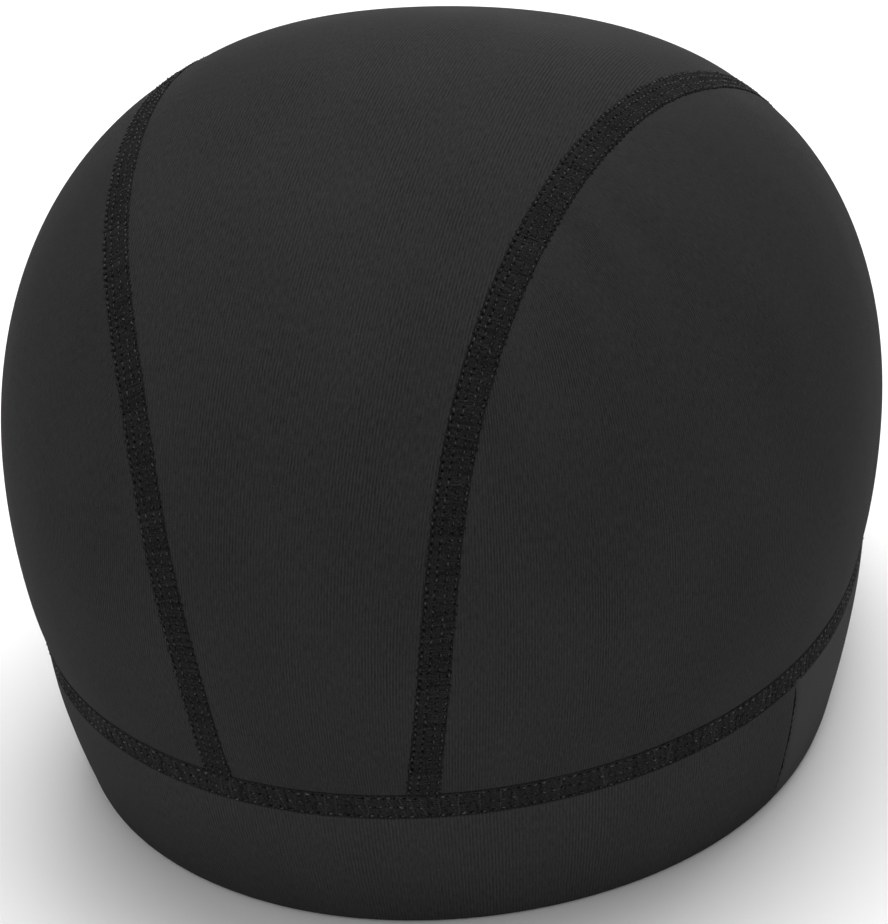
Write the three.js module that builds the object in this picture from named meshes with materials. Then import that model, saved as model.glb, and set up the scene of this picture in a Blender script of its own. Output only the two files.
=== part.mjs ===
// Skull cap of stretch jersey, in the shape it takes on a head, standing on its rim.
// Millimetres, +Z up. The front faces +Y and the wearer's right side is at +X.
// Three crown panels meet in two flatlock seams, and a folded band closes the rim.
import * as THREE from 'three';

const { degToRad, radToDeg, euclideanModulo, lerp, smoothstep } = THREE.MathUtils;

// Heights and walls
const SEAM_LINE_HEIGHT = 29; // middle line of the band seam above the surface
const CROWN_WALL = 1.2; // one layer of jersey
const BAND_WALL = 2; // jersey folded double
const FLATLOCK_WALL = 1.8; // abutted edges under layers of thread
const CROWN_SEAM_WIDTH = 5.3;
const BAND_SEAM_WIDTH = 5;
const GAP = 0.3; // clearance between two pieces of cloth

// The band's closing join, one upright line behind the wearer's right ear
const JOIN_TURN = 73; // degrees round from the back
const JOIN_WIDTH = 1.6;
const JOIN_WALL = 1.8;

// The rim is the fold of the band, pressed flat where it stands
const RIM_FLAT = 1.3;
const RIM_ROUNDING = 0.8;

// Middle surface of the cloth: distance from the middle of the head hollow, which lies
// level with the band seam, at the side, the back and the front for each elevation angle.
const PROFILES = [
  { elevation: -26, side: 72.5, back: 78, front: 96 },
  { elevation: 0, side: 73, back: 82, front: 103 },
  { elevation: 24, side: 84.5, back: 93.5, front: 107.5 },
  { elevation: 48, side: 99.5, back: 100.5, front: 105 },
  { elevation: 70, side: 104, back: 102, front: 101.5 },
  { elevation: 90, side: 103.5, back: 103.5, front: 103.5 },
];

// The forehead is broader than an ellipse: the power of its level sections rises above 2
// toward the front, level with the band and below, and is 2 again above an elevation.
const FOREHEAD = { extraPower: 0.3, goneAbove: 35 };

// Middle lines of the two crown seams: sideways lean from the centre plane in degrees,
// for the turn over the head from the back of the band seam (0) to its front (180).
// The two wander a little apart, as sewn jersey does when it is stretched.
const SEAM_LINES = [
  { turn: 0, left: 11, right: 14.1 },
  { turn: 15, left: 11.9, right: 15.7 },
  { turn: 30, left: 14.4, right: 16 },
  { turn: 45, left: 18.3, right: 16.1 },
  { turn: 60, left: 23.6, right: 17.3 },
  { turn: 75, left: 27.1, right: 19.5 },
  { turn: 90, left: 28.8, right: 22.4 },
  { turn: 105, left: 29.3, right: 25.1 },
  { turn: 120, left: 29, right: 26.5 },
  { turn: 150, left: 27.4, right: 27 },
  { turn: 180, left: 24.5, right: 24.5 },
];

// Shallow valleys where a seam holds the cloth in, and the bulge that they leave between
const BAND_VALLEY = { depth: 0.6, reach: 6.5 };
const CROWN_VALLEY = { depth: 0.25, reach: 6, fadeHeight: 15 };

// Facets of each piece
const CENTRE_GRID = { across: 10, along: 40 };
const SIDE_GRID = { around: 30, up: 14 };
const RING_FACETS = 96;
const CROWN_SEAM_FACETS = 44;
const BAND_ROW_SHARES = [0.18, 0.45, 0.72, 1]; // of the band's height, above its rounded rim

const CENTRE = new THREE.Vector3(0, 0, SEAM_LINE_HEIGHT);

// Cubic spline through the values. Its start is free, and its end is free or level.
function makeSpline(knots, values, levelEnd = false) {
  const last = knots.length - 1;
  const slope = (i) => (values[i + 1] - values[i]) / (knots[i + 1] - knots[i]);
  const bends = new Array(last + 1).fill(0);
  const carries = new Array(last + 1).fill(0);
  for (let i = 1; i <= last; i++) {
    const isEnd = i === last;
    if (isEnd && !levelEnd) break;
    const before = knots[i] - knots[i - 1];
    const after = isEnd ? 0 : knots[i + 1] - knots[i];
    const slopeAfter = isEnd ? 0 : slope(i);
    const pivot = 2 * (before + after) - before * carries[i - 1];
    carries[i] = after / pivot;
    bends[i] = (6 * (slopeAfter - slope(i - 1)) - before * bends[i - 1]) / pivot;
  }
  for (let i = last - 1; i > 0; i--) {
    bends[i] -= carries[i] * bends[i + 1];
  }
  return (x) => {
    let i = 0;
    while (i < last - 1 && x > knots[i + 1]) i++;
    const span = knots[i + 1] - knots[i];
    const gone = x - knots[i];
    const left = knots[i + 1] - x;
    const curve = (bends[i] * left ** 3 + bends[i + 1] * gone ** 3) / (6 * span);
    const fromStart = (values[i] / span - (bends[i] * span) / 6) * left;
    const fromEnd = (values[i + 1] / span - (bends[i + 1] * span) / 6) * gone;
    return curve + fromStart + fromEnd;
  };
}

function column(rows, name) {
  return rows.map((row) => row[name]);
}

const profile = {};
for (const name of ['side', 'back', 'front']) {
  profile[name] = makeSpline(column(PROFILES, 'elevation'), column(PROFILES, name), true);
}

const leftSeam = {
  side: -1,
  lean: makeSpline(column(SEAM_LINES, 'turn'), column(SEAM_LINES, 'left')),
};
const rightSeam = {
  side: 1,
  lean: makeSpline(column(SEAM_LINES, 'turn'), column(SEAM_LINES, 'right')),
};

// Direction from the centre: turn goes over the head from the back, lean goes toward +X.
function overHead(turn, lean) {
  const flat = Math.cos(degToRad(lean));
  const rearward = Math.cos(degToRad(turn)) * flat;
  const up = Math.sin(degToRad(turn)) * flat;
  return new THREE.Vector3(Math.sin(degToRad(lean)), -rearward, up);
}

function turnOf(direction) {
  return radToDeg(Math.atan2(direction.z, -direction.y));
}

function leanOf(direction) {
  return radToDeg(Math.asin(direction.x));
}

// Turn about Z from the back toward +X
function roundTurn(direction) {
  return radToDeg(Math.atan2(direction.x, -direction.y));
}

// How far the seams draw the cloth in at a direction whose plain reach is given
function valleyDepth(direction, plainReach) {
  const height = direction.z * plainReach;
  let depth = BAND_VALLEY.depth * Math.exp(-((height / BAND_VALLEY.reach) ** 2));
  if (height > 0) {
    const share = smoothstep(height, 0, CROWN_VALLEY.fadeHeight);
    for (const seam of [leftSeam, rightSeam]) {
      const away = leanOf(direction) - seam.side * seam.lean(turnOf(direction));
      const distance = degToRad(away) * plainReach;
      depth += share * CROWN_VALLEY.depth * Math.exp(-((distance / CROWN_VALLEY.reach) ** 2));
    }
  }
  return depth;
}

// Distance from the centre to the middle surface: level sections are half ellipses
// whose long radius passes smoothly from the back's to the front's.
function reach(direction) {
  const elevation = radToDeg(Math.asin(direction.z));
  const flat = Math.hypot(direction.x, direction.y);
  const sideways = flat > 0 ? direction.x / flat : 0;
  const rearward = flat > 0 ? -direction.y / flat : 1;
  const lowShare = 1 - smoothstep(elevation, 0, FOREHEAD.goneAbove);
  const power = 2 + FOREHEAD.extraPower * lowShare * smoothstep(-rearward, 0, 1);
  const backShare = smoothstep(rearward, -1, 1);
  const front = profile.front(elevation) ** -power;
  const lengthwise = lerp(front, profile.back(elevation) ** -power, backShare);
  const crosswise = profile.side(elevation) ** -power;
  const along = Math.abs(rearward) ** power * lengthwise;
  const plain = (along + Math.abs(sideways) ** power * crosswise) ** (-1 / power);
  return plain - valleyDepth(direction, plain);
}

function surfacePoint(direction) {
  return CENTRE.clone().addScaledVector(direction, reach(direction));
}

// Point and outward normal of the middle surface
function surfaceAt(direction) {
  const STEP = 0.003;
  const first = new THREE.Vector3(1, 0, 0).cross(direction).normalize();
  const second = direction.clone().cross(first);
  const difference = (tangent) => {
    const ahead = direction.clone().addScaledVector(tangent, STEP).normalize();
    const behind = direction.clone().addScaledVector(tangent, -STEP).normalize();
    return surfacePoint(ahead).sub(surfacePoint(behind));
  };
  const normal = difference(first).cross(difference(second)).normalize();
  return { point: surfacePoint(direction), normal };
}

// Direction to the middle surface at a height, turned about Z from the back toward +X
function atHeight(turn, height) {
  const PASSES = 12;
  const direction = new THREE.Vector3();
  let rise = 0;
  for (let pass = 0; pass < PASSES; pass++) {
    const flat = Math.sqrt(1 - rise ** 2);
    direction.set(Math.sin(degToRad(turn)) * flat, -Math.cos(degToRad(turn)) * flat, rise);
    rise = (height - SEAM_LINE_HEIGHT) / reach(direction);
  }
  return direction;
}

// Direction beside a crown seam, at a distance from its middle line away from the centre panel
function besideSeam(seam, turn, distance) {
  const STEP = 0.5;
  const onLine = (at) => overHead(at, seam.side * seam.lean(at));
  const direction = onLine(turn);
  const { point, normal } = surfaceAt(direction);
  const along = surfacePoint(onLine(turn + STEP)).sub(surfacePoint(onLine(turn - STEP)));
  const away = along.cross(normal).normalize().multiplyScalar(seam.side);
  return point.addScaledVector(away, distance).sub(CENTRE).normalize();
}

// Turn at which a rising function of the turn reaches zero
function crossing(value, low, high) {
  const HALVINGS = 30;
  for (let i = 0; i < HALVINGS; i++) {
    const middle = (low + high) / 2;
    if (value(middle) < 0) low = middle;
    else high = middle;
  }
  return (low + high) / 2;
}

// A seam's edge from the back of the band seam to its front, as a function from 0 to 1
function seamEdge(seam, distance, height) {
  const SEARCH = { back: [-10, 60], front: [120, 190] }; // turns that hold each end
  const climb = (turn) => surfacePoint(besideSeam(seam, turn, distance)).z - height;
  const start = crossing(climb, ...SEARCH.back);
  const end = crossing((turn) => -climb(turn), ...SEARCH.front);
  return (t) => besideSeam(seam, lerp(start, end, t), distance);
}

// Coons patch between four chart edges, each a function from 0 to 1
function fillBetween({ low, high, start, end }) {
  return (u, v) => {
    const p = new THREE.Vector2();
    p.addScaledVector(low(u), 1 - v).addScaledVector(high(u), v);
    p.addScaledVector(start(v), 1 - u).addScaledVector(end(v), u);
    p.addScaledVector(low(0), -(1 - u) * (1 - v)).addScaledVector(low(1), -u * (1 - v));
    p.addScaledVector(high(0), -(1 - u) * v).addScaledVector(high(1), -u * v);
    return p;
  };
}

// Closed cloth solid: an outer and an inner grid of points, joined round their edges.
// place(u, v) takes whole steps and gives a middle point, a normal and half the wall.
function makeShell(steps, place, isRing = false) {
  const positions = [];
  const across = steps.v + 1;
  const rings = isRing ? steps.u : steps.u + 1;
  for (let u = 0; u < rings; u++) {
    for (let v = 0; v < across; v++) {
      const { point, normal, half } = place(u, v);
      positions.push(...point.clone().addScaledVector(normal, half).toArray());
      positions.push(...point.clone().addScaledVector(normal, -half).toArray());
    }
  }
  const outer = (u, v) => 2 * ((u % rings) * across + v);
  const inner = (u, v) => outer(u, v) + 1;
  const indices = [];
  const quad = (a, b, c, d) => indices.push(a, b, c, a, c, d);
  for (let u = 0; u < steps.u; u++) {
    for (let v = 0; v < steps.v; v++) {
      quad(outer(u, v), outer(u + 1, v), outer(u + 1, v + 1), outer(u, v + 1));
      quad(inner(u, v), inner(u, v + 1), inner(u + 1, v + 1), inner(u + 1, v));
    }
    quad(outer(u, 0), inner(u, 0), inner(u + 1, 0), outer(u + 1, 0));
    quad(outer(u, steps.v), outer(u + 1, steps.v), inner(u + 1, steps.v), inner(u, steps.v));
  }
  if (!isRing) {
    for (let v = 0; v < steps.v; v++) {
      quad(outer(0, v), outer(0, v + 1), inner(0, v + 1), inner(0, v));
      quad(outer(steps.u, v), inner(steps.u, v), inner(steps.u, v + 1), outer(steps.u, v + 1));
    }
  }
  const geometry = new THREE.BufferGeometry();
  geometry.setAttribute('position', new THREE.Float32BufferAttribute(positions, 3));
  geometry.setIndex(indices);
  geometry.computeVertexNormals();
  return geometry;
}

function cloth(color) {
  return new THREE.MeshStandardMaterial({ color, roughness: 0.95, metalness: 0 });
}

const jersey = () => cloth('#2b2b2c');
const stitchedJersey = () => cloth('#1f1f20');

const CROWN_EDGE_HEIGHT = SEAM_LINE_HEIGHT + BAND_SEAM_WIDTH / 2 + GAP;
const BAND_TOP_HEIGHT = SEAM_LINE_HEIGHT - BAND_SEAM_WIDTH / 2 - GAP;
const PANEL_EDGE = CROWN_SEAM_WIDTH / 2 + GAP;

// The centre panel runs over the head from the back of the band seam to its front.
function centrePanel() {
  const toChart = (direction) => new THREE.Vector2(turnOf(direction), leanOf(direction));
  const right = seamEdge(rightSeam, -PANEL_EDGE, CROWN_EDGE_HEIGHT);
  const left = seamEdge(leftSeam, -PANEL_EDGE, CROWN_EDGE_HEIGHT);
  const levelEdge = (from, to) => {
    const shortestTurn = euclideanModulo(roundTurn(to) - roundTurn(from) + 180, 360) - 180;
    return (t) => toChart(atHeight(roundTurn(from) + shortestTurn * t, CROWN_EDGE_HEIGHT));
  };
  const chart = fillBetween({
    low: (t) => toChart(right(t)),
    high: (t) => toChart(left(t)),
    start: levelEdge(right(0), left(0)),
    end: levelEdge(right(1), left(1)),
  });
  return makeShell({ u: CENTRE_GRID.along, v: CENTRE_GRID.across }, (u, v) => {
    const spot = chart(u / CENTRE_GRID.along, v / CENTRE_GRID.across);
    return { ...surfaceAt(overHead(spot.x, spot.y)), half: CROWN_WALL / 2 };
  });
}

// A side panel is a half disc: its straight edge follows the band seam and its round
// edge the crown seam. It is filled on the stereographic chart seen from its side.
function sidePanel(seam) {
  const CORNER_SHARE = 0.25; // share of the round edge that each upright side of the patch takes
  const toChart = ({ x, y, z }) => new THREE.Vector2(y, z).divideScalar(1 + seam.side * x);
  const fromChart = (spot) => {
    const square = spot.lengthSq();
    const x = seam.side * (1 - square);
    return new THREE.Vector3(x, 2 * spot.x, 2 * spot.y).divideScalar(1 + square);
  };
  const round = seamEdge(seam, PANEL_EDGE, CROWN_EDGE_HEIGHT);
  const backTurn = roundTurn(round(0));
  const frontTurn = roundTurn(round(1));
  const chart = fillBetween({
    low: (t) => toChart(atHeight(lerp(backTurn, frontTurn, t), CROWN_EDGE_HEIGHT)),
    high: (t) => toChart(round(lerp(CORNER_SHARE, 1 - CORNER_SHARE, t))),
    start: (t) => toChart(round(CORNER_SHARE * t)),
    end: (t) => toChart(round(1 - CORNER_SHARE * t)),
  });
  return makeShell({ u: SIDE_GRID.around, v: SIDE_GRID.up }, (u, v) => {
    const along = seam.side > 0 ? u : SIDE_GRID.around - u;
    const spot = chart(along / SIDE_GRID.around, v / SIDE_GRID.up);
    return { ...surfaceAt(fromChart(spot)), half: CROWN_WALL / 2 };
  });
}

// Cross section of a flatlock strip: share of its width and of its half thickness
const FLATLOCK_SECTION = [
  { width: -0.5, thickness: 0.6 },
  { width: -0.4, thickness: 1 },
  { width: 0.4, thickness: 1 },
  { width: 0.5, thickness: 0.6 },
];

// A crown seam is a strip between two edges that stop short of the band seam.
function crownSeam(seam) {
  const edges = FLATLOCK_SECTION.map(({ width }) =>
    seamEdge(seam, -seam.side * width * CROWN_SEAM_WIDTH, CROWN_EDGE_HEIGHT),
  );
  const steps = { u: CROWN_SEAM_FACETS, v: FLATLOCK_SECTION.length - 1 };
  return makeShell(steps, (u, v) => {
    const half = (FLATLOCK_SECTION[v].thickness * FLATLOCK_WALL) / 2;
    return { ...surfaceAt(edges[v](u / CROWN_SEAM_FACETS)), half };
  });
}

// The band seam runs level round the whole cap.
function bandSeam() {
  const steps = { u: RING_FACETS, v: FLATLOCK_SECTION.length - 1 };
  const place = (u, v) => {
    const { width, thickness } = FLATLOCK_SECTION[v];
    const height = SEAM_LINE_HEIGHT + width * BAND_SEAM_WIDTH;
    const spot = surfaceAt(atHeight((360 * u) / RING_FACETS, height));
    return { ...spot, half: (thickness * FLATLOCK_WALL) / 2 };
  };
  return makeShell(steps, place, true);
}

// Rows of the band from the rim up. The rim row is level, so the cap stands on it.
function bandRows(wall) {
  const upper = BAND_ROW_SHARES.map((share) => share * BAND_TOP_HEIGHT);
  const rows = [RIM_ROUNDING, ...upper].map((height) => ({ height, half: wall / 2 }));
  return [{ height: 0, half: Math.min(RIM_FLAT, wall) / 2 }, ...rows];
}

function bandSpot(turn, row) {
  const { point, normal } = surfaceAt(atHeight(turn, row.height));
  if (row.height === 0) {
    point.z = 0;
    normal.setZ(0).normalize();
  }
  return { point, normal, half: row.half };
}

// Half the angle that a width takes up on the band at the join
function halfAngle(width) {
  return radToDeg(width / 2 / reach(atHeight(JOIN_TURN, SEAM_LINE_HEIGHT)));
}

function band() {
  const rows = bandRows(BAND_WALL);
  const opening = halfAngle(JOIN_WIDTH + 2 * GAP);
  return makeShell({ u: RING_FACETS, v: rows.length - 1 }, (u, v) => {
    const round = lerp(opening, 360 - opening, u / RING_FACETS);
    return bandSpot(JOIN_TURN + round, rows[v]);
  });
}

// The join closes the band's two ends with one upright line of stitching.
function bandJoin() {
  const rows = bandRows(JOIN_WALL);
  const reachOut = halfAngle(JOIN_WIDTH);
  const across = [-1, 1];
  return makeShell({ u: across.length - 1, v: rows.length - 1 }, (u, v) =>
    bandSpot(JOIN_TURN + across[u] * reachOut, rows[v]),
  );
}

const cap = new THREE.Group();
cap.name = 'skull_cap';

function add(name, geometry, material) {
  const mesh = new THREE.Mesh(geometry, material);
  mesh.name = name;
  cap.add(mesh);
}

add('crown_centre_panel', centrePanel(), jersey());
add('side_panel_left', sidePanel(leftSeam), jersey());
add('side_panel_right', sidePanel(rightSeam), jersey());
add('crown_seam_left', crownSeam(leftSeam), stitchedJersey());
add('crown_seam_right', crownSeam(rightSeam), stitchedJersey());
add('band_seam', bandSeam(), stitchedJersey());
add('band', band(), jersey());
add('band_join', bandJoin(), stitchedJersey());

// The origin is the middle of the cap's plan, on the surface that it stands on.
const extent = new THREE.Box3().setFromObject(cap);
const middle = extent.getCenter(new THREE.Vector3());
cap.position.set(-middle.x, -middle.y, 0);

export default cap;
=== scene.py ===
"""Looks of the skull cap: knitted panels, flatlock seams with their threads, and the folded band.

Lengths are millimetres in the part's own frame and angles are degrees. Meshes are made in metres,
and lights are placed in metres.
"""
import math

import bpy
import numpy as np
from mathutils import Matrix


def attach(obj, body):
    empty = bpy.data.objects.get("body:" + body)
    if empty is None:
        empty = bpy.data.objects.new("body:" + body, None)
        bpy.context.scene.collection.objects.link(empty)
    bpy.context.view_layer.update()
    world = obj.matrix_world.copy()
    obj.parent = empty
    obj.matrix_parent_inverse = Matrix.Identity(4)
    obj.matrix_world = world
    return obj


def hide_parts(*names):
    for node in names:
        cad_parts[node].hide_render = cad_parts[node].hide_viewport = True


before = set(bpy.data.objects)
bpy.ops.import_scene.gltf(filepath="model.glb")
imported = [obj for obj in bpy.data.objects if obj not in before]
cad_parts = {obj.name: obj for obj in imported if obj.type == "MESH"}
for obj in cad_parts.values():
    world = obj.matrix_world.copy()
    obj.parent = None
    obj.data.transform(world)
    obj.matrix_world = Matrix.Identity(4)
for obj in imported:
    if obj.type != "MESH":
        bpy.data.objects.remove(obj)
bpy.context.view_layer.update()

MM = 0.001
random = np.random.default_rng(7)

# Walls, widths and heights of the part
SEAM_LINE_HEIGHT = 29.0
CROWN_WALL = 1.2
BAND_WALL = 2.0
CROWN_SEAM_WIDTH = 5.3
BAND_SEAM_WIDTH = 5.0
JOIN_TURN = 73.0
RIM_FLAT = 1.3
PLAN_SHIFT = np.array([-0.0172, -8.9264, 0.0])  # from the middle of the hollow to the plan's

# Threads hold the cloth together: the seams' strips fill their gaps but for a slit
CLOSED_GAP = 0.03
CROWN_STRIP = CROWN_SEAM_WIDTH + 0.05
BAND_STRIP = BAND_SEAM_WIDTH + 0.25
PANEL_EDGE = CROWN_STRIP / 2 + CLOSED_GAP
PANEL_FOOT = SEAM_LINE_HEIGHT + BAND_STRIP / 2 + CLOSED_GAP
BAND_EDGE = SEAM_LINE_HEIGHT - BAND_STRIP / 2 - CLOSED_GAP

# Radii that turn angles into lengths of cloth
CENTRE_RADIUS = 103.0
SIDE_RADIUS = 98.0
BAND_RADIUS = 76.0

# Middle surface of the cloth: distance from the middle of the hollow for each elevation
PROFILES = np.array([
    # elevation, side, back, front
    [-26, 72.5, 78, 96],
    [0, 73, 82, 103],
    [24, 84.5, 93.5, 107.5],
    [48, 99.5, 100.5, 105],
    [70, 104, 102, 101.5],
    [90, 103.5, 103.5, 103.5],
])
# The level sections are fuller than ellipses at the forehead
FOREHEAD_POWER = 0.3
FOREHEAD_GONE_ABOVE = 35.0

# Sideways lean of the two crown seams for the turn over the head from the back
SEAM_LINES = np.array([
    # turn, left, right
    [0, 11, 14.1],
    [15, 11.9, 15.7],
    [30, 14.4, 16],
    [45, 18.3, 16.1],
    [60, 23.6, 17.3],
    [75, 27.1, 19.5],
    [90, 28.8, 22.4],
    [105, 29.3, 25.1],
    [120, 29, 26.5],
    [150, 27.4, 27],
    [180, 24.5, 24.5],
])
# Turns between which the crown seams' ends are looked for
BACK_TURNS = (-10.0, 60.0)
FRONT_TURNS = (120.0, 190.0)
HALVINGS = 30
HEIGHT_ROUNDS = 12  # after which a direction has long settled on its height

# How far the seams pull the cloth in
BAND_VALLEY = {"depth": 0.6, "reach": 6.5}
CROWN_VALLEY = {"depth": 0.25, "reach": 6.0, "fade_height": 15.0}

# A seam's stitches: their length, the rows as offsets toward -X or upward, each row's needle holes
# as a share of a stitch, how far the cover thread's first crossing goes along as such a share,
# the number of cover threads and how far they sink in
CROWN_STITCHES = {
    "length": 1.32,
    "rows": (-2.3, -0.75, 0.9, 2.3),
    "holes": (0.28, 0.26, 0.08, 0),
    "first_leg": 0.36,
    "threads": 2,
    "sunk": 0.015,
}
BAND_STITCHES = {
    "length": 1.74,
    "rows": (-2.2, -0.05, 2.05),
    "holes": (0.3, 0.2, 0),
    "first_leg": 0.22,
    "threads": 1,
    "sunk": 0.0,
}


# The part's surface

def make_spline(knots, values, level_end=False):
    """Cubic spline through the values. Its start is free, and its end is free or level."""
    count = len(knots)
    steps = np.diff(knots)
    slopes = np.diff(values) / steps
    system = np.eye(count)
    right = np.zeros(count)
    for i in range(1, count - 1):
        system[i, i - 1:i + 2] = steps[i - 1], 2 * (steps[i - 1] + steps[i]), steps[i]
        right[i] = 6 * (slopes[i] - slopes[i - 1])
    if level_end:
        system[-1, -2:] = steps[-1], 2 * steps[-1]
        right[-1] = -6 * slopes[-1]
    bends = np.linalg.solve(system, right)

    def value(x):
        x = np.asarray(x, float)
        i = np.clip(np.searchsorted(knots, x, side="left") - 1, 0, count - 2)
        span = steps[i]
        gone = x - knots[i]
        left = knots[i + 1] - x
        curve = (bends[i] * left ** 3 + bends[i + 1] * gone ** 3) / (6 * span)
        from_start = (values[i] / span - bends[i] * span / 6) * left
        from_end = (values[i + 1] / span - bends[i + 1] * span / 6) * gone
        return curve + from_start + from_end

    return value


side_profile, back_profile, front_profile = (
    make_spline(PROFILES[:, 0], PROFILES[:, i], True) for i in (1, 2, 3)
)
SEAM_LEAN = {
    -1: make_spline(SEAM_LINES[:, 0], SEAM_LINES[:, 1]),
    1: make_spline(SEAM_LINES[:, 0], SEAM_LINES[:, 2]),
}


def unit(vectors):
    return vectors / np.linalg.norm(vectors, axis=-1, keepdims=True)


def lerp(a, b, t):
    return a + (b - a) * t


def smoothstep(x, low, high):
    t = np.clip((x - low) / (high - low), 0, 1)
    return t * t * (3 - 2 * t)


def hump(distance, width):
    """One in the middle, and next to nothing at twice the width."""
    return np.exp(-((distance / width) ** 2))


def over_head(turn, lean):
    """Direction for a turn over the head from the back and a lean toward +X."""
    turn, lean = np.radians(turn), np.radians(lean)
    flat = np.cos(lean)
    return np.stack([np.sin(lean) + 0 * turn, -np.cos(turn) * flat, np.sin(turn) * flat], -1)


def turn_of(direction):
    return np.degrees(np.arctan2(direction[..., 2], -direction[..., 1]))


def lean_of(direction):
    return np.degrees(np.arcsin(np.clip(direction[..., 0], -1, 1)))


def round_turn(direction):
    """Turn about Z from the back toward +X."""
    return np.degrees(np.arctan2(direction[..., 0], -direction[..., 1]))


def valley_depth(direction, plain):
    """How far the seams pull the cloth in from its plain distance."""
    height = direction[..., 2] * plain
    depth = BAND_VALLEY["depth"] * hump(height, BAND_VALLEY["reach"])
    share = smoothstep(height, 0, CROWN_VALLEY["fade_height"])
    turn, lean = turn_of(direction), lean_of(direction)
    for side in (-1, 1):
        away = np.radians(lean - side * SEAM_LEAN[side](turn)) * plain
        depth = depth + share * CROWN_VALLEY["depth"] * hump(away, CROWN_VALLEY["reach"])
    return depth


def reach(direction):
    """Distance from the middle of the hollow to the middle surface."""
    x, y, z = direction[..., 0], direction[..., 1], direction[..., 2]
    elevation = np.degrees(np.arcsin(np.clip(z, -1, 1)))
    flat = np.maximum(np.hypot(x, y), 1e-12)
    sideways, rearward = x / flat, -y / flat
    low_share = 1 - smoothstep(elevation, 0, FOREHEAD_GONE_ABOVE)
    power = 2 + FOREHEAD_POWER * low_share * smoothstep(-rearward, 0, 1)
    back_share = smoothstep(rearward, -1, 1)
    front = front_profile(elevation) ** -power
    lengthwise = lerp(front, back_profile(elevation) ** -power, back_share)
    crosswise = side_profile(elevation) ** -power
    along = np.abs(rearward) ** power * lengthwise
    plain = (along + np.abs(sideways) ** power * crosswise) ** (-1 / power)
    return plain - valley_depth(direction, plain)


def surface_point(direction):
    return direction * reach(direction)[..., None] + (0, 0, SEAM_LINE_HEIGHT)


def surface_at(direction):
    """Points and outward normals of the middle surface."""
    step = 0.003
    first = unit(np.cross(np.array([1.0, 0, 0]) + 0 * direction, direction))
    second = np.cross(direction, first)

    def difference(tangent):
        ahead = surface_point(unit(direction + step * tangent))
        return ahead - surface_point(unit(direction - step * tangent))

    normal = unit(np.cross(difference(first), difference(second)))
    return surface_point(direction), normal


def at_height(turn, height):
    """Direction to the middle surface at a height, turned about Z from the back toward +X."""
    turn, height = np.broadcast_arrays(np.radians(turn), np.asarray(height, float))
    rise = np.zeros(turn.shape)
    for _ in range(HEIGHT_ROUNDS):
        flat = np.sqrt(1 - rise ** 2)
        direction = np.stack([np.sin(turn) * flat, -np.cos(turn) * flat, rise], -1)
        rise = (height - SEAM_LINE_HEIGHT) / reach(direction)
    return direction


def beside_seam(side, turn, distance):
    """Direction beside a crown seam, at a distance from its middle line away from the centre."""
    step = 0.5
    turn, distance = np.broadcast_arrays(np.asarray(turn, float), np.asarray(distance, float))

    def on_line(at):
        return over_head(at, side * SEAM_LEAN[side](at))

    point, normal = surface_at(on_line(turn))
    along = surface_point(on_line(turn + step)) - surface_point(on_line(turn - step))
    away = side * unit(np.cross(along, normal))
    return unit(point + away * distance[..., None] - (0, 0, SEAM_LINE_HEIGHT))


def crossing(value, shape, turns):
    """Turns between two at which a rising function of the turn reaches zero."""
    low, high = (np.full(shape, turn) for turn in turns)
    for _ in range(HALVINGS):
        middle = (low + high) / 2
        below = value(middle) < 0
        low, high = np.where(below, middle, low), np.where(below, high, middle)
    return (low + high) / 2


def seam_ends(side, distance, height):
    """Turns at which a line beside a crown seam meets a height, at the back and the front."""
    distance = np.atleast_1d(np.asarray(distance, float))

    def climb(turn):
        return surface_point(beside_seam(side, turn, distance))[..., 2] - height

    start = crossing(climb, distance.shape, BACK_TURNS)
    end = crossing(lambda turn: -climb(turn), distance.shape, FRONT_TURNS)
    return start, end


def seam_edge(side, distance):
    """Directions along a line beside a crown seam, from 0 at its back end to 1 at its front."""
    start, end = seam_ends(side, distance, PANEL_FOOT)
    return lambda t: beside_seam(side, lerp(start[0], end[0], np.asarray(t, float)), distance)


def lengths_along(line):
    """Length along a line of points up to each of them."""
    return np.concatenate([[0], np.cumsum(np.linalg.norm(np.diff(line, axis=0), axis=1))])


# Meshes

TUBE_STEP = 7.0  # from one tube to the next in the cloth's first coordinate


def shell_faces(steps_u, steps_v, is_ring):
    """Vertex numbers of a closed cloth wall: an outer and an inner grid and the walls between."""
    rings = steps_u if is_ring else steps_u + 1
    across = steps_v + 1
    u, v = np.meshgrid(np.arange(steps_u), np.arange(steps_v), indexing="ij")

    def outer(a, b):
        return 2 * ((a % rings) * across + b)

    def quads(*corners):
        return np.stack([c.ravel() for c in corners], -1)

    def edge(here, there, turned=False):
        """The wall between the grids along an edge."""
        corners = (there, there + 1, here + 1)
        return quads(here, *(corners[::-1] if turned else corners))

    here, beside = outer(u, v), outer(u + 1, v)
    above, opposite = outer(u, v + 1), outer(u + 1, v + 1)
    a, b = np.arange(steps_u), np.arange(steps_v)
    faces = [
        quads(here, beside, opposite, above),
        quads(here + 1, above + 1, opposite + 1, beside + 1),
        edge(outer(a, 0), outer(a + 1, 0), turned=True),
        edge(outer(a, steps_v), outer(a + 1, steps_v)),
    ]
    if not is_ring:
        faces.append(edge(outer(0, b), outer(0, b + 1)))
        faces.append(edge(outer(steps_u, b), outer(steps_u, b + 1), turned=True))
    return faces


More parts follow.
